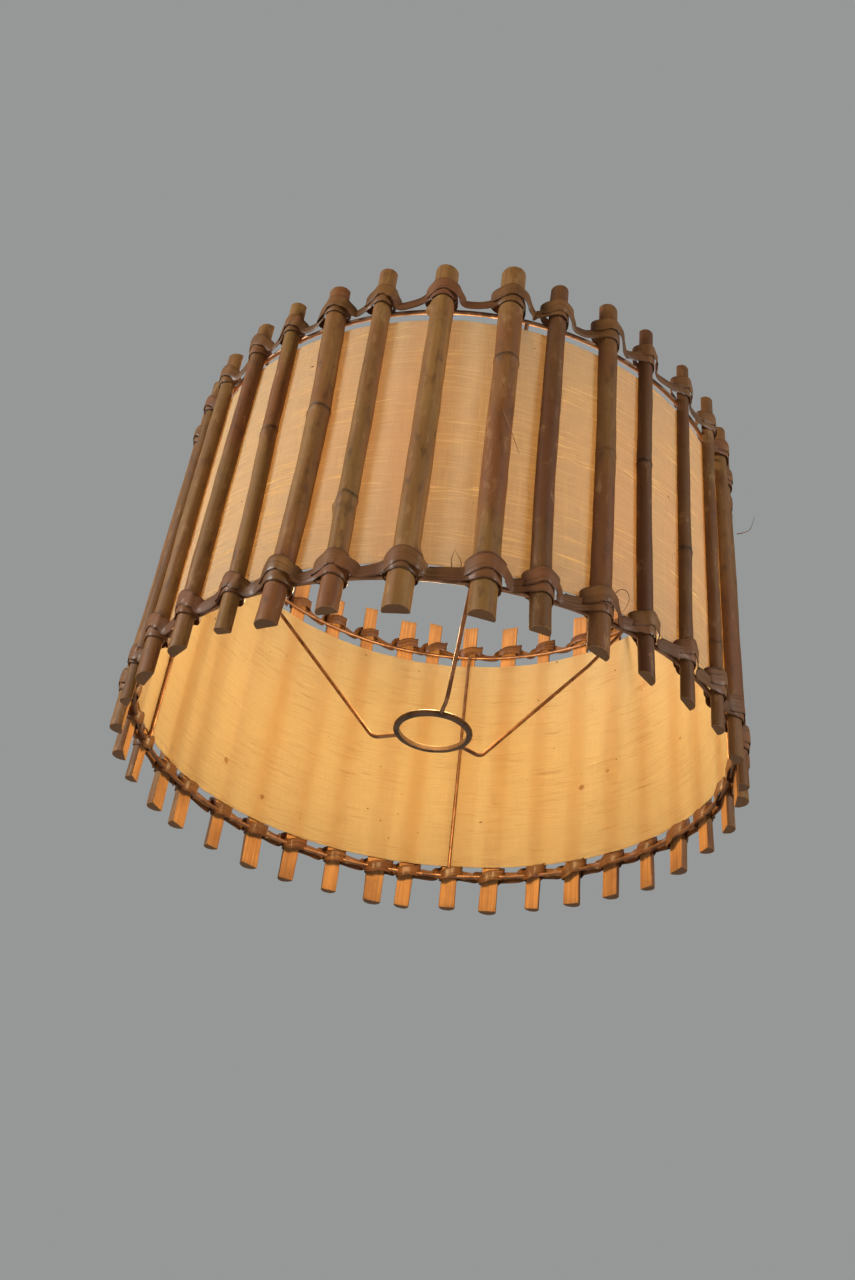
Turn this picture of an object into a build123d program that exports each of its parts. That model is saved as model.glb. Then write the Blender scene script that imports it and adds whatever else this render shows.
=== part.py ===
from build123d import *
import math
import os

# Rattan drum lamp shade, in millimetres, +Z up.
# The origin is the centre of the fitting ring's bore, on the shade's axis.
# 36 split canes stand in a circle, flat side inwards. A flat peel strip lashes them to a top
# and a bottom wire ring, and a stiff linen lining is glued to their flat sides between the rings.

# Wire frame
RING_RADIUS = 170.6
RING_WIRE = 2.6
RING_SPACING = 185.0
STAY_RADIUS = 170.0
STAY_WIRE = 2.4
ARM_WIRE = 2.4

# Fitting ring: the 40 mm hole of a large lampholder's shade ring
BORE_RADIUS = 20.0
FITTING_RADIUS = 23.5
FITTING_HEIGHT = 3.4
FITTING_ROUND = 1.5
BORE_ROUND = 0.4
FITTING_ABOVE_BOTTOM_RING = 18.0

# Canes
CANE_COUNT = 36
FLAT_RADIUS = 172.0
FIRST_AZIMUTH = 192.5
CANE_SIDE = 0.8
END_CHAMFER = 0.6
TOP_REACH = 30.0
BOTTOM_REACH = 24.0

# Lining
LINING_RADIUS = 171.95
LINING_THICKNESS = 0.6
LINING_ABOVE_RING = 7.5
LINING_HEIGHT = 169.5

# Lashing strip: it runs level along the wire and climbs over the front of each cane
STRIP_THICKNESS = 1.0
RUN_HEIGHT = 8.0
WRAP_BELOW = 3.5
WRAP_ABOVE_BOTTOM = 5.5
WRAP_ABOVE_TOP = 9.5
SLACK = 0.06

WRAP_BACK = FLAT_RADIUS - STAY_RADIUS + STAY_WIRE / 2
BOTTOM_Z = -FITTING_ABOVE_BOTTOM_RING
TOP_Z = BOTTOM_Z + RING_SPACING
MIDDLE_Z = (BOTTOM_Z + TOP_Z) / 2

# The canes were spaced, cut and lashed by eye, so these differ from an even circle of canes.
# Degrees off the even pitch:
OFF_PITCH = {
    4: 0.5,
    5: 0.2,
    6: -0.6,
    7: -0.7,
    8: 0.2,
    9: 2.8,
    10: 1.9,
    11: 1.8,
    12: 1.2,
    13: 1.7,
    14: 1.9,
    15: 0.8,
    17: -1.1,
    18: -1.3,
    28: -2.8,
    29: -2.4,
    30: -2.1,
    31: -1.9,
    32: -1.7,
    34: -1.8,
}
# How far the top leans round the shade, anticlockwise from above, from one ring to the other:
LEANS = {5: -3.4, 7: -0.7, 8: 1.0, 9: 0.5, 10: 0.7, 11: 1.8, 12: 1.8, 13: 5.0, 14: 6.0, 15: 5.0}
# How much longer than TOP_REACH, or shorter than BOTTOM_REACH, the ends are:
LONGER_ABOVE = {
    3: -3.5,
    4: -3.5,
    5: -2.0,
    6: -5.0,
    7: 2.0,
    8: 0.0,
    9: 3.5,
    10: 0.0,
    11: 0.5,
    12: 0.5,
    13: -1.5,
    14: 0.5,
}
SHORTER_BELOW = {
    2: 1.5,
    4: 3.0,
    5: 3.0,
    7: 3.0,
    8: 2.7,
    9: 4.5,
    10: 3.5,
    11: 1.7,
    12: 0.5,
    13: 1.0,
    14: 2.2,
    17: 5.5,
    18: 3.2,
    19: 4.0,
    20: 2.5,
    22: 1.8,
    23: 1.5,
    24: 1.0,
    26: 2.0,
    29: 1.0,
}
CANE_WIDTHS = {8: 13.0, 9: 13.5, 10: 10.5, 11: 11.5, 12: 9.0, 13: 8.5, 14: 9.5}

# Arms run from the fitting ring to the top ring, as (azimuth, extra bend or None)
ARMS = {
    "arm_front": (278.8, None),
    "arm_left": (157.0, None),
    "arm_right": (38.0, (132.0, 114.0)),
}
# Each stay stands behind this cane
STAYS = {"stay_back": 26, "stay_left": 35, "stay_front": 8, "stay_right": 17}
ARM_KNEE_RADIUS = 38.5
ARM_BEND = 9.0


def uneven(number, step):
    """A repeatable value from -1 to 1 that differs from one cane to the next."""
    return math.sin(number * step)


def cane_azimuth(number):
    return FIRST_AZIMUTH + 360 / CANE_COUNT * (number - 1) + OFF_PITCH.get(number, 0.0)


def cane_lean(number):
    return LEANS.get(number, 1.5 * uneven(number, 3.7))


def cane_shift(number, z):
    """How far round the shade the leaning cane's middle is from its azimuth at this height."""
    return cane_lean(number) * (z - MIDDLE_Z) / RING_SPACING


def azimuth_at(number, z):
    return cane_azimuth(number) + math.degrees(cane_shift(number, z) / FLAT_RADIUS)


def cane_width(number):
    return CANE_WIDTHS.get(number, 11.4 + 1.3 * uneven(number, 2.3))


def cane_depth(width):
    return width / 2 + CANE_SIDE


def cane_bottom(number):
    """Most canes end at the lowest level, all round, so the shade stands without rocking."""
    return BOTTOM_Z - BOTTOM_REACH + SHORTER_BELOW.get(number, 0.0)


def cane_top(number):
    return TOP_Z + TOP_REACH + LONGER_ABOVE.get(number, 2.5 * uneven(number, 2.9))


def at_azimuth(azimuth, radius, z=0.0):
    """A place whose X runs round the shade, whose Y points outwards and whose Z is up."""
    return Rot(0, 0, azimuth - 90) * Pos(0, radius, z)


def cane_outline(width, grow=0.0, back=0.0):
    """A D with its flat side at Y = -back, seen from above, grown outwards all round."""
    half = width / 2 + grow
    low = -back - grow
    sides = Polyline((-half, CANE_SIDE), (-half, low), (half, low), (half, CANE_SIDE))
    crown = ThreePointArc((-half, CANE_SIDE), (0, cane_depth(width) + grow), (half, CANE_SIDE))
    return make_face([sides, crown])


def wire_ring(z, wire):
    return Pos(0, 0, z) * Torus(RING_RADIUS, wire / 2)


def make_cane(number):
    height = cane_top(number) - cane_bottom(number)
    cane = extrude(cane_outline(cane_width(number)), height)
    ends = cane.edges().filter_by(GeomType.CIRCLE)
    cane = Pos(0, 0, cane_bottom(number) - MIDDLE_Z) * chamfer(ends, END_CHAMFER)
    tilt = math.degrees(math.atan(cane_lean(number) / RING_SPACING))
    return at_azimuth(cane_azimuth(number), FLAT_RADIUS, MIDDLE_Z) * Rot(0, -tilt, 0) * cane


def wrap_slack(number):
    """Room round a cane inside its wrap, which grows with the cane's lean over the strip."""
    return SLACK + abs(cane_lean(number)) * WRAP_ABOVE_TOP / RING_SPACING


def make_turn(number, z, above):
    """The strip where it wraps one cane, the wire and any stay, and its run to the next cane."""
    azimuth = cane_azimuth(number)
    width = cane_width(number)
    following = number % CANE_COUNT + 1
    pitch = (azimuth_at(following, z) - azimuth) % 360
    next_side = cane_width(following) / 2 + wrap_slack(following) + STRIP_THICKNESS + SLACK
    run_angle = pitch - math.degrees(next_side / FLAT_RADIUS)
    run_radius = RING_RADIUS + RING_WIRE / 2 + 2 * SLACK
    far = 2 * FLAT_RADIUS
    far_x = far * math.sin(math.radians(run_angle))
    far_y = far * math.cos(math.radians(run_angle))
    sector = make_face(Polyline((0, 0), (0, far), (-far_x, far_y), close=True))
    run = (Circle(run_radius + STRIP_THICKNESS) - Circle(run_radius)) & sector
    seat = Pos(-cane_shift(number, z), FLAT_RADIUS)
    wrap = seat * cane_outline(width, wrap_slack(number) + STRIP_THICKNESS, WRAP_BACK)
    core = seat * cane_outline(width, wrap_slack(number), WRAP_BACK)
    turn = Pos(0, 0, -RUN_HEIGHT / 2) * extrude(run, RUN_HEIGHT)
    turn += Pos(0, 0, -WRAP_BELOW) * extrude(wrap, WRAP_BELOW + above)
    turn -= Pos(0, 0, -RUN_HEIGHT) * extrude(core, RUN_HEIGHT + 2 * above)
    hole = Cylinder(RING_WIRE / 2 + 3 * SLACK, 2 * width, rotation=(0, 90, 0))
    turn -= Pos(0, RING_RADIUS - 2 * SLACK, 0) * hole
    return Pos(0, 0, z) * Rot(0, 0, azimuth - 90) * turn


def make_lashing(z, above):
    return Compound([make_turn(n, z, above).solid() for n in range(1, CANE_COUNT + 1)])


def make_stay(number):
    rod = Cylinder(STAY_WIRE / 2, RING_SPACING, align=(Align.CENTER, Align.CENTER, Align.MIN))
    rod = at_azimuth(cane_azimuth(number), STAY_RADIUS, BOTTOM_Z) * rod
    return rod - wire_ring(BOTTOM_Z, RING_WIRE) - wire_ring(TOP_Z, RING_WIRE)


def make_arm(azimuth, extra_bend):
    """A wire that leaves the fitting ring level, turns up at a knee and ends on the top ring."""
    start = (0, (BORE_RADIUS + FITTING_RADIUS) / 2, 0)
    knee = (0, ARM_KNEE_RADIUS, 0)
    end = (0, RING_RADIUS, TOP_Z)
    points = [start, knee, end]
    if extra_bend:
        points.insert(2, (0, extra_bend[0], extra_bend[1]))
    path = FilletPolyline(*points, radius=ARM_BEND)
    section = Plane(origin=start, z_dir=(0, 1, 0)) * Circle(ARM_WIRE / 2)
    arm = Rot(0, 0, azimuth - 90) * sweep(section, path=path)
    return arm - wire_ring(TOP_Z, RING_WIRE) - fitting_blank()


def fitting_blank():
    """The fitting ring with its bore filled, which also trims the arms' inner ends."""
    blank = Cylinder(FITTING_RADIUS, FITTING_HEIGHT)
    return fillet(blank.edges().filter_by(GeomType.CIRCLE), FITTING_ROUND)


def make_fitting_ring():
    ring = fitting_blank() - Cylinder(BORE_RADIUS, FITTING_HEIGHT)
    rims = ring.edges().filter_by(GeomType.CIRCLE)
    bore_rims = [rim for rim in rims if abs(rim.radius - BORE_RADIUS) < SLACK]
    return fillet(bore_rims, BORE_ROUND)


def make_lining():
    outer = Cylinder(LINING_RADIUS, LINING_HEIGHT, align=(Align.CENTER, Align.CENTER, Align.MIN))
    inner = Cylinder(
        LINING_RADIUS - LINING_THICKNESS,
        LINING_HEIGHT,
        align=(Align.CENTER, Align.CENTER, Align.MIN),
    )
    return Pos(0, 0, BOTTOM_Z + LINING_ABOVE_RING) * (outer - inner)


def all_nodes():
    nodes = {f"cane_{n:02d}": make_cane(n) for n in range(1, CANE_COUNT + 1)}
    nodes["bottom_ring"] = wire_ring(BOTTOM_Z, RING_WIRE)
    nodes["top_ring"] = wire_ring(TOP_Z, RING_WIRE)
    for name, number in STAYS.items():
        nodes[name] = make_stay(number)
    for name, (azimuth, extra_bend) in ARMS.items():
        nodes[name] = make_arm(azimuth, extra_bend)
    nodes["fitting_ring"] = make_fitting_ring()
    nodes["lining"] = make_lining()
    nodes["bottom_lashing"] = make_lashing(BOTTOM_Z, WRAP_ABOVE_BOTTOM)
    nodes["top_lashing"] = make_lashing(TOP_Z, WRAP_ABOVE_TOP)
    return nodes


os.makedirs("parts", exist_ok=True)
for node, shape in all_nodes().items():
    export_step(shape, f"parts/{node}.step")
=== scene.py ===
import math
import random

import bmesh
import bpy
import numpy as np
from mathutils import Matrix, Vector, noise


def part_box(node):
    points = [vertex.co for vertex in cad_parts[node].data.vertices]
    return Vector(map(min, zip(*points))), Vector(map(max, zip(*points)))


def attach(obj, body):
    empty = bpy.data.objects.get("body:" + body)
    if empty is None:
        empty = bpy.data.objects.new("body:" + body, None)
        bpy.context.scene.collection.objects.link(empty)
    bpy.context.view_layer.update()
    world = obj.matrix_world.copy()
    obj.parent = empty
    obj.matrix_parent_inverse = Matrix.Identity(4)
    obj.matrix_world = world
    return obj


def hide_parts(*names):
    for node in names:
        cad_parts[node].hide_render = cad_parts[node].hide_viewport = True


# Rattan drum lamp shade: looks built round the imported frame, in metres, +Z up.

MM = 0.001
CANE_COUNT = 36
CANE_SIDE = 0.8 * MM
# Steps of a cane's outline along its flat side and over its crown, and of its length
FLAT_STEPS = 6
ARCH_STEPS = 20
CANE_STATIONS = 72
# The length of a cane's end that tells where it stands
END_SLICE = 3.0 * MM
# The length over which a slanted cut shows, from the cane's end
SLANT_LENGTH = 9.0 * MM
# How far above its ring's level a node's crack is deepest
CRACK_LIFT = 0.4

# Node rings on the front canes: share of the cane's length from its lower end, how dark, rise in
# millimetres from the middle to the right side, and rise from the sides to the middle
NODE_RINGS = {
    5: (0.56, 0.9, 1.6, 0.6),
    6: (0.58, 1.0, 0.4, 2.4),
    7: (0.28, 1.0, 0.8, 3.0),
    9: (0.70, 0.9, 0.0, 0.4),
    10: (0.60, 0.25, 0.3, 0.0),
    11: (0.525, 0.4, 0.0, 0.3),
    12: (0.565, 1.0, 0.9, 0.0),
    13: (0.40, 1.0, 0.0, 0.3),
    14: (0.22, 0.6, 0.3, 0.0),
}
# Canes that are darker (1) or lighter (0) than chance would make them: partly their own tone, partly
# painted shade that darkens the front canes on the right
TONES_AND_SHADE = {
    3: 0.3,
    4: 0.3,
    5: 0.1,
    6: 0.15,
    7: 0.2,
    8: 0.1,
    9: 0.2,
    10: 0.8,
    11: 0.5,
    12: 1.0,
    13: 0.85,
    14: 0.7,
}
# The canes that NODE_RINGS describes; the others get their rings by chance
FRONT_CANES = range(3, 15)
# How far a cane's middle bows round the shade, in millimetres, anticlockwise from above
BOWS = {5: 1.0, 6: 4.0, 8: 0.6, 10: -2.2, 11: 0.8, 12: -1.6, 13: -0.8}
# Leaf scars: share of the cane's length, side that they stand out on, and in millimetres how far
# they stand out and how long they are below and above
LEAF_SCARS = {
    7: ((0.265, -1, 1.3, 5.0, 1.2),),
    8: ((0.86, -1, 2.6, 1.8, 4.0), (0.13, 1, 2.6, 1.8, 4.0)),
}
# Lower ends that were cut on a slant: rise in millimetres from the left side to the right side
SLANTED_ENDS = {3: 2.2, 4: 1.6, 5: -2.0, 9: -1.6, 11: -3.0, 12: -3.4, 13: -2.6}

LINEN_THICKNESS = 0.5 * MM
LINEN_OVERLAP = 15 * MM
LINEN_SEAM_AZIMUTH = 77.5
LINEN_COLUMNS = 720
LINEN_ROWS = 34
# Small brown stains on the linen's inside: azimuth in degrees, height and radius in millimetres
STAINS = ((142.9, 18.8, 2.5), (130.7, 7.3, 2.1), (42.7, 52.1, 1.7), (49.9, 44.4, 2.5), (19.0, 49.4, 1.4))

STRIP_WIDTH = 9.2 * MM
# The least that the strip is pulled in to, as a share of its full width
STRIP_PINCH = {"bottom": 0.84, "top": 0.64}
# Share of the full width at each knot of the strip's path round a cane: pulled narrow in the gaps
STRIP_PULL = (0.62, 0.68, 0.84, 0.96, 1.0, 1.0, 0.94, 0.84, 0.76, 0.76, 0.78)
STRIP_PULL += (0.8, 0.88, 1.0, 1.06, 1.02, 0.98, 0.94, 0.86, 0.7, 0.62)
STRIP_THICKNESS = 0.6 * MM
STRIP_CROWN = 0.16 * MM
# Heights of the strip's middle above the wire, in millimetres: in the gaps between the canes,
# where it first crosses a cane's front, and where it crosses again
STRIP_HEIGHTS = {"bottom": (0.2, 2.8, 6.6), "top": (1.6, 7.2, 11.6)}
# Cross-sections of the strip from each knot to the next
KNOT_STEPS = 6
# The strip gets painted shade where it runs nearer than this to the canes' flat sides, in the recess behind
# them
RECESS_SHADE_REACH = 6 * MM

# Slivers that stand off the canes and lashings: azimuth in degrees, radius and height in millimetres
FIBRES = (
    ((275.4, 181, 84), (276.4, 183, 74), (277.2, 183, 65), (278.2, 184, 55)),
    ((294.5, 181, -18), (294.2, 184, -11), (296.0, 186, -8), (297.0, 185, -14), (296.2, 182, -19)),
    ((271.4, 181, -18), (271.3, 183, -16), (270.8, 184, -14), (270.3, 185, -12)),
    ((270.0, 181, -18), (269.8, 183, -16), (269.9, 184, -14), (270.3, 186, -11)),
    ((336.0, 181, 115), (336.8, 186, 117), (338.6, 189, 125), (339.4, 191, 136)),
)
FIBRE_RADIUS = 0.32 * MM

BULB_HEIGHT = 64 * MM
BULB_RADIUS = 28 * MM
GLOW_POWER = 1.95
FLOOR_Z = -0.62
FLOOR_SIZE = 9.0

CAMERA_PLACE = (0, -0.581, -0.3316)
CAMERA_FORWARD = (-0.0139, 0.8261, 0.5633)
CAMERA_RIGHT = (0.9934, -0.0528, 0.1019)
CAMERA_LENS = 31.8

# How strongly the room lights the shade from its front and back, and from its sides
ROOM_GREY = (0.305, 0.315, 0.310, 1)
ROOM_FRONT = 0.07
ROOM_SIDES = 1.15


def seeded(*keys):
    """A random source that gives the same numbers each run for the same keys."""
    return random.Random("/".join(str(key) for key in keys))


def cad_points(node):
    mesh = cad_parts[node].data
    points = np.zeros(len(mesh.vertices) * 3)
    mesh.vertices.foreach_get("co", points)
    return points.reshape(-1, 3)


class Cane:
    """Where one CAD cane stands, how big it is, and the small ways it differs from a straight one."""

    def __init__(self, number):
        self.number = number
        self.node = f"cane_{number:02d}"
        points = cad_points(self.node)
        middle = (points.min(0) + points.max(0)) / 2
        self.azimuth = math.atan2(middle[1], middle[0])
        for _ in range(3):
            across = points @ self.tangent()
            offset = (across.min() + across.max()) / 2
            self.azimuth += math.atan2(offset, np.hypot(middle[0], middle[1]))
        out = points @ self.outward()
        self.flat = out.min()
        self.depth = out.max() - out.min()
        self.low = points[:, 2].min()
        self.high = points[:, 2].max()
        foot = points[points[:, 2] < self.low + END_SLICE] @ self.tangent()
        head = points[points[:, 2] > self.high - END_SLICE] @ self.tangent()
        self.half = (foot.max() - foot.min()) / 2
        self.foot_shift = (foot.max() + foot.min()) / 2
        self.head_shift = (head.max() + head.min()) / 2
        chance = seeded("cane", number)
        self.bow = BOWS.get(number, chance.uniform(-1.4, 1.4)) * MM
        self.sway = chance.uniform(-0.5, 0.5) * MM
        self.taper = chance.uniform(-0.05, 0.05)
        self.tone = TONES_AND_SHADE.get(number, chance.uniform(0.2, 0.8))
        self.kink = chance.uniform(-0.6, 0.6) * MM
        self.nodes = [NODE_RINGS[number]] if number in NODE_RINGS else []
        if number not in FRONT_CANES and chance.random() < 0.6:
            height = chance.uniform(0.12, 0.9)
            dark = chance.uniform(0.3, 1.0)
            self.nodes = [(height, dark, chance.uniform(-1, 1), 0.4)]
        self.top_slant = chance.uniform(-0.9, 0.9) * MM
        self.low_slant = SLANTED_ENDS.get(number, chance.uniform(-0.8, 0.8)) * MM

    def outward(self):
        return np.array((math.cos(self.azimuth), math.sin(self.azimuth), 0.0))

    def tangent(self):
        return np.array((-math.sin(self.azimuth), math.cos(self.azimuth), 0.0))

    def drift(self, z):
        """How far the cane's middle is off its straight place, round the shade."""
        share = (z - self.low) / (self.high - self.low)
        return (
            self.foot_shift * (1 - share)
            + self.head_shift * share
            + self.bow * math.sin(math.pi * share)
            + self.sway * math.sin(2.4 * math.pi * share)
            + self.kink * sum(1 - min(1.0, abs(share - node[0]) * 5) for node in self.nodes)
        )

    def past_node(self, node, t, z):
        """Millimetres from a node's ring up to the point t round from the cane's middle at z."""
        across = max(-1.0, min(1.0, t / self.half))
        level = node[2] * across + node[3] * (1 - abs(across))
        return (z - self.low - node[0] * (self.high - self.low)) / MM - level

    def scale(self, t, z):
        """The cane's width as a share of its CAD width: it tapers, and swells at a node."""
        share = (z - self.low) / (self.high - self.low)
        size = 1 - abs(self.taper) / 2 + self.taper * (share - 0.5)
        for node in self.nodes:
            away = self.past_node(node, t, z)
            size += (0.02 + 0.06 * node[1]) * math.exp(-(((away + 1.0) / 2.6) ** 2))
            size -= 0.12 * node[1] * math.exp(-(((away - CRACK_LIFT) / 0.6) ** 2))
        return size

    def at(self, t, n, z):
        """A point t round the shade from the cane's middle and n out from its flat side."""
        return (self.flat + n) * self.outward() + t * self.tangent() + np.array((0.0, 0.0, z))


# --- Materials -------------------------------------------------------------------------------


class Tree:
    """A material's node tree, with short calls to add and link nodes."""

    def __init__(self, name):
        self.material = bpy.data.materials.new(name)
        self.material.use_nodes = True
        self.nodes = self.material.node_tree.nodes
        self.links = self.material.node_tree.links
        self.nodes.clear()
        self.output = self.nodes.new("ShaderNodeOutputMaterial")

    def set(self, node, name, value):
        socket = node.inputs[name]
        if isinstance(value, bpy.types.NodeSocket):
            self.links.new(value, socket)
        else:
            socket.default_value = value

    def add(self, kind, settings=None, **inputs):
        node = self.nodes.new(kind)
        for key, value in (settings or {}).items():
            setattr(node, key, value)
        for name, value in inputs.items():
            self.set(node, name.replace("_", " "), value)
        return node

    def math(self, operation, a, b):
        node = self.nodes.new("ShaderNodeMath")
        node.operation = operation
        self.set(node, 0, a)
        self.set(node, 1, b)
        return node.outputs[0]

    def place(self, scale, source=None):
        """Object coordinates, or another vector, multiplied by scale along each axis."""
        if source is None:
            source = self.nodes.new("ShaderNodeTexCoord").outputs["Object"]
        node = self.nodes.new("ShaderNodeMapping")
        self.set(node, "Vector", source)
        self.set(node, "Scale", scale)
        return node.outputs[0]

    def attribute(self, name):
        return self.add("ShaderNodeAttribute", {"attribute_name": name}).outputs["Fac"]

    def noise(self, vector, scale=1.0, detail=3.0, roughness=0.5):
        node = self.add("ShaderNodeTexNoise", Vector=vector, Scale=scale, Detail=detail)
        node.inputs["Roughness"].default_value = roughness
        return node.outputs[0]

    def range(self, value, low, high, to_low=0.0, to_high=1.0):
        node = self.add("ShaderNodeMapRange", Value=value)
        self.set(node, "From Min", low)
        self.set(node, "From Max", high)
        self.set(node, "To Min", to_low)
        self.set(node, "To Max", to_high)
        return node.outputs[0]

    def mix(self, factor, a, b, blend="MIX"):
        node = self.add("ShaderNodeMix", {"data_type": "RGBA", "blend_type": blend})
        self.set(node, 0, factor)
        for index, value in ((6, a), (7, b)):
            if isinstance(value, tuple):
                value = (*value, 1.0)
            self.set(node, index, value)
        return node.outputs[2]

    def bump(self, height, distance, strength=1.0):
        node = self.add("ShaderNodeBump", Height=height, Distance=distance, Strength=strength)
        return node.outputs[0]

    def finish(self, shader):
        self.links.new(shader, self.output.inputs["Surface"])
        return self.material


def cane_skin():
    """Weathered, varnished rattan skin: brown with paler streaks, mottling and dark node rings."""
    tree = Tree("cane_skin")
    streaks = tree.noise(tree.place((420, 420, 9)), detail=4)
    mottling = tree.noise(tree.place((70, 70, 26)), detail=5, roughness=0.62)
    patches = tree.noise(tree.place((16, 16, 11)), detail=2)
    pores = tree.noise(tree.place((1500, 1500, 160)), detail=2)
    scuffs = tree.noise(tree.place((150, 150, 60)), detail=6, roughness=0.7)
    colour = tree.mix(tree.range(streaks, 0.35, 0.68), (0.250, 0.105, 0.028), (0.400, 0.200, 0.060))
    colour = tree.mix(tree.range(mottling, 0.40, 0.62, 0.0, 0.8), colour, (0.270, 0.140, 0.034))
    colour = tree.mix(tree.range(patches, 0.46, 0.62, 0.0, 0.75), colour, (0.250, 0.080, 0.026))
    # Per-cane tone: real differences between canes, plus painted shade on the right-hand front canes
    colour = tree.mix(tree.range(tree.attribute("tone"), 0.0, 1.0, 0.0, 0.8), colour, (0.100, 0.036, 0.014))
    colour = tree.mix(tree.range(scuffs, 0.54, 0.66, 0.0, 0.6), colour, (0.095, 0.040, 0.016))
    colour = tree.mix(tree.range(scuffs, 0.43, 0.32, 0.0, 0.5), colour, (0.480, 0.260, 0.105))
    colour = tree.mix(tree.math("MULTIPLY", tree.attribute("ring"), 0.9), colour, (0.028, 0.013, 0.007))
    shader = tree.add("ShaderNodeBsdfPrincipled")
    tree.set(shader, "Base Color", colour)
    tree.set(shader, "Roughness", tree.range(mottling, 0.3, 0.7, 0.46, 0.64))
    tree.set(shader, "Specular IOR Level", 0.25)
    height = tree.math("ADD", streaks, tree.math("MULTIPLY", mottling, 0.6))
    height = tree.math("ADD", height, tree.math("MULTIPLY", pores, 0.25))
    tree.set(shader, "Normal", tree.bump(height, 0.25 * MM, 0.8))
    return tree.finish(shader.outputs[0])


def cane_core():
    """The split side and the sawn ends: paler open-grained wood."""
    tree = Tree("cane_core")
    fibres = tree.noise(tree.place((900, 900, 14)), detail=3)
    pores = tree.add("ShaderNodeTexVoronoi", Vector=tree.place((1300, 1300, 40)), Scale=1.0)
    stains = tree.noise(tree.place((40, 40, 30)), detail=3)
    colour = tree.mix(tree.range(fibres, 0.35, 0.65), (0.340, 0.155, 0.050), (0.500, 0.250, 0.090))
    colour = tree.mix(tree.range(pores.outputs[0], 0.30, 0.08, 0.0, 0.5), colour, (0.130, 0.055, 0.020))
    colour = tree.mix(tree.range(stains, 0.48, 0.68, 0.0, 0.65), colour, (0.200, 0.085, 0.030))
    colour = tree.mix(tree.math("MULTIPLY", tree.attribute("ring"), 0.8), colour, (0.095, 0.042, 0.018))
    shader = tree.add("ShaderNodeBsdfPrincipled")
    tree.set(shader, "Base Color", colour)
    tree.set(shader, "Roughness", tree.range(fibres, 0.3, 0.7, 0.55, 0.75))
    tree.set(shader, "Specular IOR Level", 0.3)
    tree.set(shader, "Normal", tree.bump(fibres, 0.2 * MM, 0.7))
    return tree.finish(shader.outputs[0])


def lashing_peel():
    """Varnished rattan peel: satin, the canes' brown, with fine lines along it, and painted shade along its
    edges, in its creases and where it runs behind the canes.
    """
    tree = Tree("lashing_peel")
    along = tree.add("ShaderNodeUVMap", {"uv_map": "strip"}).outputs[0]
    lines = tree.noise(tree.place((30, 2600, 1), along), detail=3)
    blotches = tree.noise(tree.place((60, 60, 60)), detail=4, roughness=0.6)
    patches = tree.noise(tree.place((22, 22, 22)), detail=2)
    crease_shade = tree.noise(tree.place((24, 900, 1), along), detail=2)
    colour = tree.mix(tree.range(lines, 0.35, 0.65), (0.190, 0.076, 0.022), (0.310, 0.145, 0.046))
    colour = tree.mix(tree.range(blotches, 0.42, 0.66, 0.0, 0.7), colour, (0.130, 0.055, 0.019))
    colour = tree.mix(tree.range(patches, 0.46, 0.62, 0.0, 0.6), colour, (0.230, 0.075, 0.026))
    colour = tree.mix(tree.range(blotches, 0.36, 0.22, 0.0, 0.5), colour, (0.400, 0.230, 0.095))
    # Painted shade: dark lines along the strip, where creases and overlapping bands would lie in shadow
    colour = tree.mix(tree.range(crease_shade, 0.60, 0.68, 0.0, 0.7), colour, (0.045, 0.020, 0.010))
    # Painted shade along the strip's two edges, where it overlaps other passes and meets the canes
    edge = tree.range(tree.attribute("edge"), 0.80, 0.98, 0.0, 0.75)
    colour = tree.mix(edge, colour, (0.060, 0.026, 0.012))
    # Painted shade where the strip runs behind the canes, broken up by the crease noise
    recess_shade = tree.math("MULTIPLY", tree.attribute("recess_shade"), tree.range(crease_shade, 0.40, 0.58, 0.32, 0.85))
    colour = tree.mix(recess_shade, colour, (0.075, 0.030, 0.013))
    shader = tree.add("ShaderNodeBsdfPrincipled")
    tree.set(shader, "Base Color", colour)
    tree.set(shader, "Roughness", tree.range(patches, 0.3, 0.7, 0.36, 0.66))
    tree.set(shader, "Specular IOR Level", 0.26)
    tree.set(shader, "Coat Weight", 0.07)
    tree.set(shader, "Coat Roughness", 0.14)
    tree.set(shader, "Normal", tree.bump(lines, 0.12 * MM, 0.6))
    return tree.finish(shader.outputs[0])


def wire_metal(name, colour, rust, roughness):
    """Tarnished wire: metal with rusty and dark patches and a slightly pitted surface."""
    tree = Tree(name)
    patches = tree.noise(tree.place((90, 90, 90)), detail=5, roughness=0.65)
    pits = tree.noise(tree.place((900, 900, 900)), detail=2)
    base = tree.mix(tree.range(patches, 0.42, 0.62), colour, rust)
    base = tree.mix(tree.range(pits, 0.55, 0.72, 0.0, 0.5), base, (0.045, 0.026, 0.018))
    shader = tree.add("ShaderNodeBsdfPrincipled")
    tree.set(shader, "Base Color", base)
    tree.set(shader, "Metallic", 0.75)
    tree.set(shader, "Roughness", tree.range(patches, 0.35, 0.65, roughness, roughness + 0.25))
    tree.set(shader, "Normal", tree.bump(pits, 0.08 * MM, 0.7))
    return tree.finish(shader.outputs[0])


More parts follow.
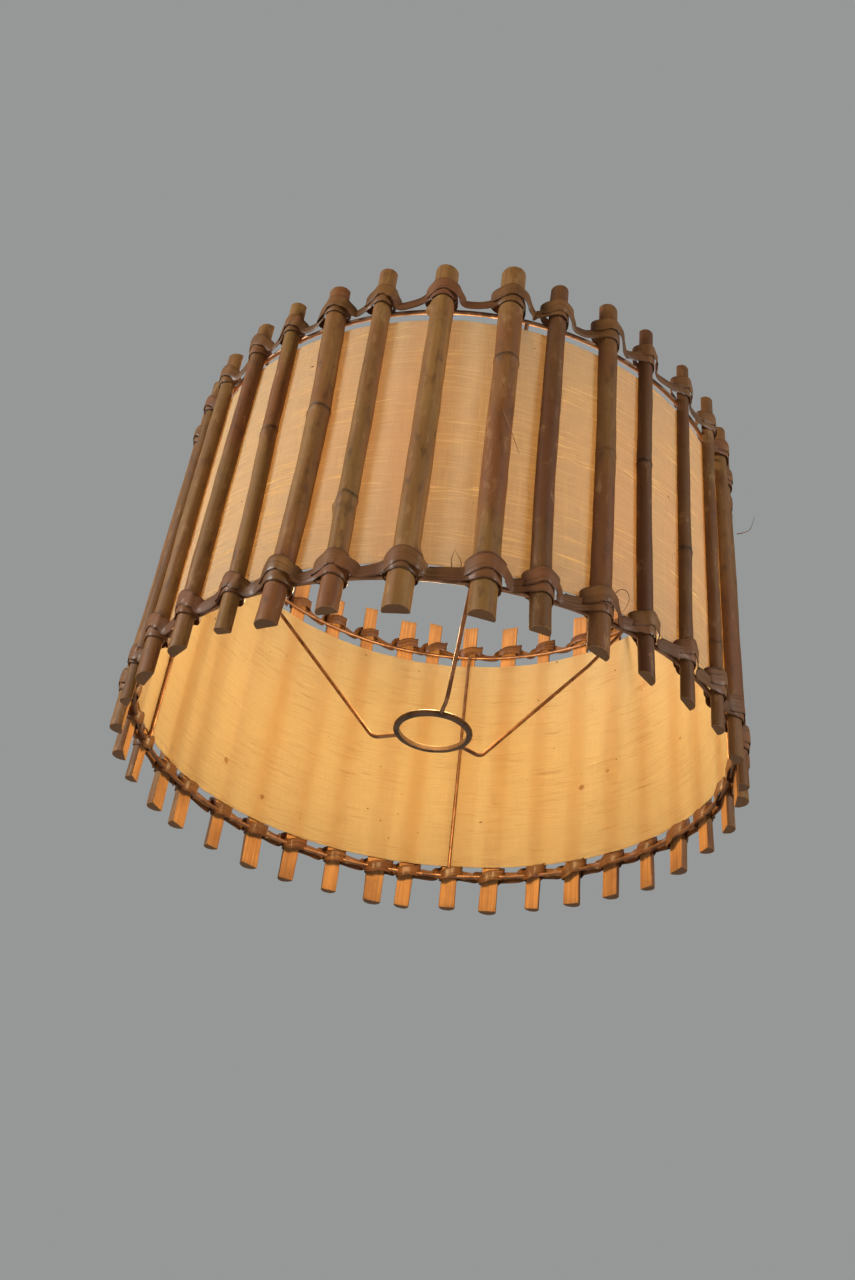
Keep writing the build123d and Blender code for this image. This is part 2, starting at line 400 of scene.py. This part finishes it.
def linen_cloth(name, outside):
    """Stiffened plain-weave linen that lets light through.

    Outside, the light shows as bright lines beside the slubs; inside, the slubs are darker streaks.
    """
    tree = Tree(name)
    flat = tree.add("ShaderNodeUVMap", {"uv_map": "cloth"}).outputs[0]
    wander = tree.noise(tree.place((75, 160, 1), flat), detail=1)
    shift = tree.add("ShaderNodeCombineXYZ", Y=tree.range(wander, 0.0, 1.0, -1.6 * MM, 1.6 * MM))
    moved = tree.add("ShaderNodeVectorMath", {"operation": "ADD"})
    tree.set(moved, 0, flat)
    tree.set(moved, 1, shift.outputs[0])
    flat = moved.outputs[0]
    weft = tree.noise(tree.place((55, 2300, 1), flat), detail=2)
    warp = tree.noise(tree.place((2300, 60, 1), flat), detail=2)
    fine = tree.noise(tree.place((24, 1150, 1), flat), detail=2)
    slubs = tree.noise(tree.place((26, 640, 1), flat), detail=3, roughness=0.6)
    coarse = tree.noise(tree.place((14, 45, 1), flat), detail=2)
    upright = tree.noise(tree.place((620, 14, 1), flat), detail=2)
    shading = tree.noise(tree.place((34, 3, 1), flat), detail=2)
    specks = tree.noise(tree.place((210, 250, 1), flat), detail=1)
    weave = tree.math("ADD", tree.math("MULTIPLY", weft, 0.6), tree.math("MULTIPLY", warp, 0.4))
    line = tree.math("MULTIPLY", tree.range(fine, 0.56, 0.64), 0.6)
    line = tree.math("MAXIMUM", line, tree.range(slubs, 0.61, 0.67))
    line = tree.math("MULTIPLY", line, tree.range(coarse, 0.36, 0.60, 0.30, 1.0))
    speck = tree.range(specks, 0.775, 0.80)
    height = tree.math("ADD", weave, tree.math("MULTIPLY", line, 0.5))
    normal = tree.bump(height, 0.18 * MM, 0.7)
    if outside:
        open_share = tree.math("MAXIMUM", line, tree.range(upright, 0.60, 0.74, 0.0, 0.30))
        cloth = tree.mix(tree.range(weave, 0.36, 0.64), (0.61, 0.54, 0.36), (0.78, 0.70, 0.50))
        through = tree.mix(tree.range(weave, 0.36, 0.64), (0.60, 0.43, 0.17), (0.72, 0.54, 0.24))
        through = tree.mix(tree.range(shading, 0.42, 0.66, 0.0, 0.45), through, (0.74, 0.40, 0.10))
        through = tree.mix(open_share, through, (1.0, 0.97, 0.82))
        share = tree.range(open_share, 0.0, 1.0, 0.52, 0.95)
    else:
        cloth = tree.mix(tree.range(weave, 0.36, 0.64), (0.62, 0.50, 0.30), (0.80, 0.68, 0.44))
        cloth = tree.mix(tree.range(shading, 0.35, 0.65, 0.0, 0.25), cloth, (0.60, 0.42, 0.20))
        cloth = tree.mix(tree.math("MULTIPLY", line, 0.9), cloth, (0.43, 0.22, 0.070))
        strength = tree.range(shading, 0.30, 0.60, 0.10, 0.55)
        # Painted shadow: the linen's inside is tinted darker orange behind each cane, where the canes block
        # the room light
        behind = tree.math("MULTIPLY", tree.attribute("behind_cane"), strength)
        cloth = tree.mix(behind, cloth, (0.64, 0.40, 0.16))
        for azimuth, z, size in STAINS:
            turn = math.radians((azimuth - LINEN_SEAM_AZIMUTH) % 360)
            middle = (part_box("lining")[1].x * turn, z * MM, 0)
            away = tree.add("ShaderNodeVectorMath", {"operation": "DISTANCE"})
            tree.set(away, 0, flat)
            tree.set(away, 1, middle)
            stain = tree.range(away.outputs["Value"], size * MM, 0.7 * size * MM, 0.0, 0.8)
            cloth = tree.mix(stain, cloth, (0.28, 0.11, 0.028))
        through = (0.72, 0.54, 0.32)
        share = 0.56
    cloth = tree.mix(speck, cloth, (0.22, 0.105, 0.040))
    through = tree.mix(speck, through, (0.30, 0.13, 0.045))
    front = tree.add("ShaderNodeBsdfPrincipled")
    tree.set(front, "Base Color", cloth)
    tree.set(front, "Roughness", 0.85)
    tree.set(front, "Sheen Weight", 0.15)
    tree.set(front, "Normal", normal)
    back = tree.add("ShaderNodeBsdfTranslucent", Color=through)
    tree.set(back, "Normal", normal)
    both = tree.add("ShaderNodeMixShader")
    tree.set(both, 0, share)
    tree.set(both, 1, front.outputs[0])
    tree.set(both, 2, back.outputs[0])
    return tree.finish(both.outputs[0])


def plain_stage(name, colour):
    tree = Tree(name)
    grain = tree.noise(tree.place((9, 9, 9)), detail=3)
    shader = tree.add("ShaderNodeBsdfPrincipled")
    tree.set(shader, "Base Color", tree.mix(tree.range(grain, 0.3, 0.7, 0.0, 0.15), colour, (1, 1, 1)))
    tree.set(shader, "Roughness", 0.9)
    return tree.finish(shader.outputs[0])


# --- Mesh helpers ----------------------------------------------------------------------------


def new_piece(name, points, faces, materials):
    mesh = bpy.data.meshes.new(name)
    mesh.from_pydata([tuple(point) for point in points], [], faces)
    for material in materials:
        mesh.materials.append(material)
    piece = bpy.data.objects.new(name, mesh)
    bpy.context.collection.objects.link(piece)
    return piece


def face_outwards(piece):
    work = bmesh.new()
    work.from_mesh(piece.data)
    bmesh.ops.recalc_face_normals(work, faces=work.faces)
    work.to_mesh(piece.data)
    work.free()


def smooth(piece, sharp_degrees=40):
    piece.data.shade_smooth()
    piece.data.set_sharp_from_angle(angle=math.radians(sharp_degrees))


def tube_faces(rows, columns, closed_rows=False):
    """Faces of a grid of points whose columns close on themselves."""
    faces = []
    for row in range(rows if closed_rows else rows - 1):
        here = row * columns
        above = (row + 1) % rows * columns
        for column in range(columns):
            after = (column + 1) % columns
            faces.append((here + column, here + after, above + after, above + column))
    return faces


# --- Canes -----------------------------------------------------------------------------------


def cane_section(cane):
    """The D outline as (t, n), starting on the flat side's left."""
    half = cane.half
    crown = cane.depth - CANE_SIDE
    rounding = 0.5 * MM
    width = 2 * (half - rounding)
    flat = [(-half + rounding + width * k / FLAT_STEPS, 0.0) for k in range(FLAT_STEPS + 1)]
    right = [(half - 0.12 * MM, 0.18 * MM), (half, CANE_SIDE * 0.6)]
    arch = []
    for k in range(ARCH_STEPS + 1):
        angle = math.pi * k / ARCH_STEPS
        arch.append((half * math.cos(angle), CANE_SIDE + crown * math.sin(angle)))
    left = [(-half, CANE_SIDE * 0.6), (-half + 0.12 * MM, 0.18 * MM)]
    return flat + right + arch + left


def station_heights(cane):
    """Heights of the cane's cross-sections: even, and closer together at nodes and leaf scars."""
    length = cane.high - cane.low
    heights = list(np.linspace(cane.low, cane.high, CANE_STATIONS))
    for node in cane.nodes:
        middle = cane.low + node[0] * length
        for away in np.arange(-4.5, 6.0, 0.45):
            heights.append(middle + away * MM)
    for scar in LEAF_SCARS.get(cane.number, ()):
        middle = cane.low + scar[0] * length
        for away in (-6.0, -4.5, -3.0, -1.5, 0.0, 1.0, 2.0, 3.0):
            heights.append(middle + away * MM)
    return sorted(set(round(height, 6) for height in heights))


def scar_push(cane, t, z):
    """A leaf scar stands out on one side of the cane."""
    push = 0.0
    for share, side, size, below, above in LEAF_SCARS.get(cane.number, ()):
        away = (z - cane.low - share * (cane.high - cane.low)) / MM
        spread = below if away < 0 else above
        beside = max(0.0, side * t / cane.half - 0.35) / 0.65
        push += side * size * MM * math.exp(-((away / spread) ** 2)) * beside
    return push


def ring_mask(cane, t, z, angle):
    """How much of the dark line at a node shows here."""
    mask = 0.0
    for node in cane.nodes:
        away = cane.past_node(node, t, z) - CRACK_LIFT
        away += 0.5 * noise.noise(Vector((angle * 2.0, cane.number * 3.1, 0.0)))
        patchy = 0.75 + 0.6 * noise.noise(Vector((angle * 3.0, cane.number * 1.7, 4.0)))
        width = 0.9 if away > 0 else 0.7 + 1.4 * node[1]
        mask = max(mask, node[1] * patchy * math.exp(-((away / width) ** 2)))
    return min(mask, 1.0)


def make_cane(cane, skin, core):
    outline = cane_section(cane)
    heights = station_heights(cane)
    columns = len(outline)
    points, rings = [], []
    for z in heights:
        to_top = max(0.0, 1 - (cane.high - z) / SLANT_LENGTH)
        to_low = max(0.0, 1 - (z - cane.low) / SLANT_LENGTH)
        for t, n in outline:
            angle = math.atan2(n, t)
            lump = noise.noise(Vector((t * 160, n * 160, z * 55 + cane.number * 7.7)))
            swell = noise.noise(Vector((0.0, cane.number * 5.3, z * 30)))
            grow = cane.scale(t, z) + 0.040 * lump + 0.050 * swell
            place_t = t * grow + cane.drift(z) + scar_push(cane, t, z)
            place_n = n * grow
            slant = to_top * cane.top_slant * t / cane.half
            slant += to_low * cane.low_slant * t / cane.half / 2
            ragged = 0.18 * MM * noise.noise(Vector((t * 900, n * 900, cane.number)))
            edge = (to_top > 0.99) or (to_low > 0.99)
            points.append(cane.at(place_t, place_n, z + slant + (ragged if edge else 0.0)))
            rings.append(ring_mask(cane, t, z, angle))
    faces = tube_faces(len(heights), columns)
    core_faces = {index for index in range(len(faces)) if index % columns <= FLAT_STEPS}
    for row, direction in ((0, -1), (len(heights) - 1, 1)):
        before = len(faces)
        edge = range(row * columns, (row + 1) * columns)
        close_end(edge, direction, points, rings, faces)
        core_faces.update(range(before, len(faces)))
    piece = new_piece(f"rattan_{cane.number:02d}", points, faces, [skin, core])
    indices = [1 if index in core_faces else 0 for index in range(len(faces))]
    piece.data.polygons.foreach_set("material_index", indices)
    face_outwards(piece)
    smooth(piece, 35)
    add_values(piece, "ring", rings)
    add_values(piece, "tone", [cane.tone] * len(points))
    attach(piece, "root")
    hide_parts(cane.node)


def close_end(rim, direction, points, rings, faces):
    """Rounds the sawn edge a little and closes the end with a slightly dished face."""
    columns = len(rim)
    edge = rim
    middle = np.mean([points[index] for index in rim], axis=0)
    for inset, rise in ((0.95, 0.28), (0.6, 0.22), (0.25, 0.12)):
        new_edge = range(len(points), len(points) + columns)
        for index in rim:
            place = middle + (points[index] - middle) * inset
            rough = 0.12 * noise.noise(Vector(tuple(place * 1400)))
            lift = direction * (rise + rough) * MM
            points.append(place + np.array((0.0, 0.0, lift)))
            rings.append(1.0)
        for column in range(columns):
            after = (column + 1) % columns
            faces.append((edge[column], edge[after], new_edge[after], new_edge[column]))
        edge = new_edge
    points.append(middle + np.array((0.0, 0.0, direction * 0.05 * MM)))
    rings.append(1.0)
    for column in range(columns):
        faces.append((edge[column], edge[(column + 1) % columns], len(points) - 1))


def add_values(piece, name, values):
    attribute = piece.data.attributes.new(name, "FLOAT", "POINT")
    attribute.data.foreach_set("value", values)


# --- Lashings --------------------------------------------------------------------------------


def lashing_knots(cane, before, ring_z, heights, seed):
    """Points that the strip's middle passes at one cane.

    It comes in low from the left, crosses the front, turns behind the cane and the wire, comes out
    higher on the left, crosses the front again and drops in a loose bight on the right.
    """
    chance = seeded("knot", seed, cane.number)
    half = cane.half
    depth = cane.depth
    under = STRIP_THICKNESS * 0.8
    over = under + STRIP_THICKNESS * 1.4
    gap = heights[0] + chance.uniform(-0.5, 0.5)
    first = heights[1] + chance.uniform(-1.3, 1.1)
    second = heights[2] + chance.uniform(-1.0, 1.2)
    bight = chance.uniform(4.2, 6.4) * MM
    heel = chance.uniform(2.2, 5.0) * MM
    left = -gap_half(before, cane)
    back = -3.7 * MM
    knots = [
        (left, 1.2 * MM, 0.80 * gap + 0.20 * first),
        (-half - 4.4 * MM, 2.2 * MM, 0.45 * gap + 0.55 * first),
        (-half - 1.2 * MM, 3.6 * MM, 0.15 * gap + 0.85 * first),
        (-half * 0.72, depth * 0.80 + under, first - 0.2),
        (-half * 0.30, depth * 0.97 + under, first + 0.3),
        (half * 0.20, depth + under, first + 0.2),
        (half * 0.66, depth * 0.84 + under, first - 0.6),
        (half + 0.6 * MM, depth * 0.42, first - 1.8),
        (half + 0.9 * MM, -1.4 * MM, first - 2.8),
        (half * 0.60, back, first - 3.0),
        (0.0, back - 0.1 * MM, (first + second) / 2 - 3.4),
        (-half * 0.62, back, second - 4.8),
        (-half - heel * 0.8, back * 0.35, second - 4.0),
        (-half - heel, depth * 0.30, second - 2.4),
        (-half * 0.84, depth * 0.72 + over, second - 0.6),
        (-half * 0.36, depth * 0.96 + over, second + 0.4),
        (half * 0.20, depth + over, second + 0.5),
        (half * 0.66, depth * 0.88 + over, second - 0.4),
        (half + 1.0 * MM, depth * 0.70 + over, second - 2.6),
        (half + bight * 0.66, depth * 0.52, 0.44 * second + 0.56 * gap),
        (half + bight, depth * 0.30, 0.08 * second + 0.92 * gap),
    ]
    drift = cane.drift(ring_z)
    return [cane.at(t + drift, n, ring_z + z * MM) for t, n, z in knots]


def gap_half(one, other):
    turn = abs(math.remainder(other.azimuth - one.azimuth, 2 * math.pi))
    return turn * (one.flat + 1.5 * MM) / 2


def smooth_loop(knots, steps):
    """A closed Catmull-Rom curve through the knots, with chord-length spacing."""
    knots = np.array(knots)
    count = len(knots)
    curve = []
    for index in range(count):
        p = [knots[(index + k) % count] for k in (-1, 0, 1, 2)]
        times = [0.0]
        for k in range(3):
            times.append(times[-1] + np.linalg.norm(p[k + 1] - p[k]) ** 0.5)
        for step in range(steps):
            t = times[1] + (times[2] - times[1]) * step / steps
            a = [blend_points(p[k], p[k + 1], times[k], times[k + 1], t) for k in range(3)]
            b = [blend_points(a[k], a[k + 1], times[k], times[k + 2], t) for k in range(2)]
            curve.append(blend_points(b[0], b[1], times[1], times[2], t))
    return np.array(curve)


def blend_points(a, b, start, end, t):
    return a * (end - t) / (end - start) + b * (t - start) / (end - start)


def strip_section():
    """Half-widths and heights of the strip: crowned outside, nearly flat inside."""
    top = []
    for k in range(9):
        across = -1 + 2 * k / 8
        top.append((across * 0.5, 0.5 * STRIP_THICKNESS * (1 - across**6) + STRIP_CROWN * (1 - across**2)))
    low = [(across * 0.49, -0.45 * STRIP_THICKNESS) for across in (0.96, 0.5, 0.0, -0.5, -0.96)]
    return top + low


def make_lashing(ring, canes, material):
    name = f"{ring}_peel"
    low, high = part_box(f"{ring}_ring")
    ring_z = (low.z + high.z) / 2
    knots = []
    for index, cane in enumerate(canes):
        knots += lashing_knots(cane, canes[index - 1], ring_z, STRIP_HEIGHTS[ring], name)
    path = smooth_loop(knots, KNOT_STEPS)
    count = len(path)
    ahead = np.roll(path, -1, axis=0)
    behind = np.roll(path, 1, axis=0)
    along = ahead - behind
    along /= np.linalg.norm(along, axis=1)[:, None]
    up = np.array((0.0, 0.0, 1.0))
    wide = up - along * (along @ up)[:, None]
    wide /= np.linalg.norm(wide, axis=1)[:, None]
    out = np.cross(along, wide)
    section = strip_section()
    columns = len(section)
    lengths = np.cumsum(np.linalg.norm(ahead - path, axis=1))
    points = []
    edge_shade, recess_shades = [], []
    # Painted shade share: 1 where the strip runs close behind the canes, falling to 0 further out
    recess_shade = 1 - np.clip((np.linalg.norm(path[:, :2], axis=1) - canes[0].flat) / RECESS_SHADE_REACH, 0, 1)
    knot_places = np.arange(len(STRIP_PULL) + 1)
    pulls = STRIP_PULL + STRIP_PULL[:1]
    for index in range(count):
        pull = max(STRIP_PINCH[ring], np.interp(index / KNOT_STEPS % len(STRIP_PULL), knot_places, pulls))
        uneven = 1 + 0.12 * noise.noise(Vector((lengths[index] * 40, ring_z * 50, 0.3)))
        width = STRIP_WIDTH * pull * uneven
        twist = 0.9 * MM * noise.noise(Vector((lengths[index] * 55, ring_z * 50, 7.3)))
        for across, height in section:
            lean = height + twist * across
            points.append(path[index] + wide[index] * across * width + out[index] * lean)
            # Painted shade share: 0 at the strip's middle, 1 at either edge
            edge_shade.append(2 * abs(across))
            recess_shades.append(recess_shade[index])
    faces = tube_faces(count, columns, closed_rows=True)
    piece = new_piece(name, points, faces, [material])
    layer = piece.data.uv_layers.new(name="strip")
    for polygon in piece.data.polygons:
        for loop in polygon.loop_indices:
            vertex = piece.data.loops[loop].vertex_index
            row = vertex // columns
            layer.data[loop].uv = (lengths[row], section[vertex % columns][0] * STRIP_WIDTH)
    face_outwards(piece)
    smooth(piece, 50)
    add_values(piece, "edge", edge_shade)
    add_values(piece, "recess_shade", recess_shades)
    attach(piece, "root")
    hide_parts(f"{ring}_lashing")


# --- Lining ----------------------------------------------------------------------------------


def behind_cane(canes, angle, z):
    """Painted shadow of the canes on the linen's inside: 1 behind the middle of a cane, falling to 0
    halfway to the next one.
    """
    nearest = 1.0
    for cane in canes:
        turn = math.remainder(angle - cane.azimuth, 2 * math.pi)
        if abs(turn) < math.radians(9):
            away = abs(turn * cane.flat - cane.drift(z))
            nearest = min(nearest, away / (12 * MM))
    return 1 - nearest


def make_lining(canes, outside, inside):
    """One strip of linen, rolled into a tube and overlapped at a seam."""
    low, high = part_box("lining")
    radius = high.x - LINEN_THICKNESS / 2 - 0.05 * MM
    around = 2 * math.pi * radius
    length = around + LINEN_OVERLAP
    columns = LINEN_COLUMNS
    rows = LINEN_ROWS
    seam = math.radians(LINEN_SEAM_AZIMUTH)
    chance = seeded("linen")
    phase = chance.uniform(0, 6)
    points, flat, behind = [], [], []
    for side in (0.5, -0.5):
        for row in range(rows + 1):
            for column in range(columns + 1):
                run = length * column / columns
                angle = seam + run / radius
                tucked = 0.5 + 0.5 * math.tanh((run - around + 0.5 * MM) / (1.2 * MM))
                height = row / rows
                wave = noise.noise(Vector((math.cos(angle) * 3, math.sin(angle) * 3, height * 1.5 + phase)))
                ripple = 0.16 * MM * math.sin(angle * CANE_COUNT)
                inward = tucked * (LINEN_THICKNESS + 0.1 * MM) + 0.30 * MM * (1 + wave) + ripple
                r = radius - inward + side * LINEN_THICKNESS
                edge = 0.35 * MM * noise.noise(Vector((angle * 25, row * 0.01, phase)))
                z = low.z + (high.z - low.z) * height
                if row in (0, rows):
                    z += edge
                points.append((r * math.cos(angle), r * math.sin(angle), z))
                flat.append((run, z))
                behind.append(behind_cane(canes, angle, z))
    across = columns + 1
    sheet = across * (rows + 1)
    faces = []
    for row in range(rows):
        for column in range(columns):
            a = row * across + column
            faces.append((a, a + 1, a + across + 1, a + across))
            faces.append((sheet + a + across, sheet + a + across + 1, sheet + a + 1, sheet + a))
    for column in range(columns):
        a, b = column, rows * across + column
        faces.append((sheet + a, sheet + a + 1, a + 1, a))
        faces.append((b, b + 1, sheet + b + 1, sheet + b))
    for row in range(rows):
        a, b = row * across, row * across + columns
        faces.append((a, a + across, sheet + a + across, sheet + a))
        faces.append((sheet + b, sheet + b + across, b + across, b))
    piece = new_piece("linen_lining", points, faces, [outside, inside])
    inner = [int(min(face) >= sheet) for face in faces]
    piece.data.polygons.foreach_set("material_index", inner)
    layer = piece.data.uv_layers.new(name="cloth")
    for loop in piece.data.loops:
        layer.data[loop.index].uv = flat[loop.vertex_index]
    face_outwards(piece)
    smooth(piece, 40)
    add_values(piece, "behind_cane", behind)
    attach(piece, "root")
    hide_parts("lining")


# --- Stray fibres ----------------------------------------------------------------------------


def make_fibres(material):
    """Loose slivers of rattan: each a thin curl that tapers to its tip."""
    for number, knots in enumerate(FIBRES, 1):
        places = []
        for azimuth, radius, z in knots:
            turn = math.radians(azimuth)
            places.append(Vector((radius * math.cos(turn), radius * math.sin(turn), z)) * MM)
        curve = bpy.data.curves.new(f"stray_fibre_{number}", "CURVE")
        curve.dimensions = "3D"
        curve.resolution_u = 8
        curve.bevel_depth = FIBRE_RADIUS
        curve.bevel_resolution = 2
        spline = curve.splines.new("NURBS")
        spline.points.add(len(places) - 1)
        for index, place in enumerate(places):
            spline.points[index].co = (*place, 1.0)
            spline.points[index].radius = 1.0 - 0.7 * index / (len(places) - 1)
        spline.order_u = 3
        spline.use_endpoint_u = True
        curve.materials.append(material)
        piece = bpy.data.objects.new(curve.name, curve)
        bpy.context.collection.objects.link(piece)
        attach(piece, "root")


# --- Wire frame ------------------------------------------------------------------------------


def dress_wires():
    wire = wire_metal("tarnished_wire", (0.33, 0.165, 0.085), (0.17, 0.080, 0.040), 0.32)
    dark = wire_metal("dark_ring", (0.15, 0.090, 0.055), (0.075, 0.045, 0.030), 0.35)
    wires = ["top_ring", "bottom_ring"]
    wires += ["stay_back", "stay_left", "stay_front", "stay_right"]
    wires += ["arm_front", "arm_left", "arm_right"]
    for node in wires + ["fitting_ring"]:
        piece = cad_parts[node]
        piece.data.materials.clear()
        piece.data.materials.append(dark if node == "fitting_ring" else wire)
        for polygon in piece.data.polygons:
            polygon.material_index = 0
            polygon.use_smooth = True


# --- Stage -----------------------------------------------------------------------------------


def make_floor():
    signs = ((-1, -1), (1, -1), (1, 1), (-1, 1))
    corners = [(x * FLOOR_SIZE, y * FLOOR_SIZE, FLOOR_Z) for x, y in signs]
    material = plain_stage("pale_floor", (0.72, 0.71, 0.68))
    new_piece("floor", corners, [(0, 1, 2, 3)], [material])


def make_camera():
    """The view from below and in front, as someone sitting beside a tall lamp sees its shade."""
    data = bpy.data.cameras.new("camera")
    data.sensor_fit = "VERTICAL"
    data.sensor_height = 36
    data.sensor_width = 36
    data.lens = CAMERA_LENS
    camera = bpy.data.objects.new("camera", data)
    bpy.context.collection.objects.link(camera)
    forward = Vector(CAMERA_FORWARD).normalized()
    right = Vector(CAMERA_RIGHT).normalized()
    up = right.cross(forward)
    axes = Matrix((right, up, -forward)).transposed()
    camera.matrix_world = Matrix.Translation(CAMERA_PLACE) @ axes.to_4x4()
    bpy.context.scene.camera = camera


def add_area(name, place, aim, size, power, colour):
    data = bpy.data.lights.new(name, "AREA")
    data.shape = "DISK"
    data.size = size
    data.energy = power
    data.color = colour
    light = bpy.data.objects.new(name, data)
    bpy.context.collection.objects.link(light)
    light.location = place
    light.rotation_mode = "QUATERNION"
    light.rotation_quaternion = (Vector(aim) - Vector(place)).to_track_quat("-Z", "Y")
    light.visible_camera = False


def grey_room():
    """An even grey backdrop, while the room lights the shade more from its sides than its front."""
    world = bpy.data.worlds.new("grey_room")
    world.use_nodes = True
    nodes = world.node_tree.nodes
    links = world.node_tree.links
    background = nodes["Background"]
    direction = nodes.new("ShaderNodeSeparateXYZ")
    links.new(nodes.new("ShaderNodeTexCoord").outputs["Generated"], direction.inputs[0])
    sideways = nodes.new("ShaderNodeMath")
    sideways.operation = "ABSOLUTE"
    links.new(direction.outputs[0], sideways.inputs[0])
    level = nodes.new("ShaderNodeMapRange")
    level.inputs["From Min"].default_value = 0.25
    level.inputs["From Max"].default_value = 0.95
    level.inputs["To Min"].default_value = ROOM_FRONT
    level.inputs["To Max"].default_value = ROOM_SIDES
    links.new(sideways.outputs[0], level.inputs["Value"])
    seen = nodes.new("ShaderNodeLightPath")
    strength = nodes.new("ShaderNodeMix")
    links.new(seen.outputs["Is Camera Ray"], strength.inputs[0])
    links.new(level.outputs[0], strength.inputs[2])
    strength.inputs[3].default_value = 1.0
    links.new(strength.outputs[0], background.inputs["Strength"])
    background.inputs["Color"].default_value = ROOM_GREY
    return world


def light_scene():
    middle = (0, 0, 0.08)
    add_area("key", (-1.75, -0.8, 0.6), middle, 0.6, 29, (1.0, 0.97, 0.93))
    add_area("fill", (1.5, -1.1, 0.5), middle, 0.6, 15, (0.99, 0.98, 0.97))
    add_area("back", (0.3, 1.6, 1.1), middle, 1.2, 13, (0.96, 0.98, 1.0))
    glow = bpy.data.lights.new("glow", "POINT")
    glow.energy = GLOW_POWER
    glow.color = (1.0, 0.69, 0.31)
    glow.shadow_soft_size = BULB_RADIUS
    lamp = bpy.data.objects.new("glow", glow)
    bpy.context.collection.objects.link(lamp)
    lamp.location = (0, 0, BULB_HEIGHT)
    lamp.visible_camera = False
    bpy.context.scene.world = grey_room()
    bpy.context.scene.view_settings.view_transform = "Standard"


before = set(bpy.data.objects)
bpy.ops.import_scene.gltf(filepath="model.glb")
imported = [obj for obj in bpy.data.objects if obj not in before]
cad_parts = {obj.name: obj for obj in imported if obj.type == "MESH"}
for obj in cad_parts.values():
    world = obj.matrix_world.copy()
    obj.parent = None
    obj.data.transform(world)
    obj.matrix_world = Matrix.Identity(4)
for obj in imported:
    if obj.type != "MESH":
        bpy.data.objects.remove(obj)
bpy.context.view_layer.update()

make_camera()
canes = [Cane(number) for number in range(1, CANE_COUNT + 1)]
skin = cane_skin()
core = cane_core()
for cane in canes:
    make_cane(cane, skin, core)
peel = lashing_peel()
for ring in ("bottom", "top"):
    make_lashing(ring, canes, peel)
make_lining(canes, linen_cloth("linen_outside", True), linen_cloth("linen_inside", False))
make_fibres(peel)
dress_wires()
make_floor()
light_scene()
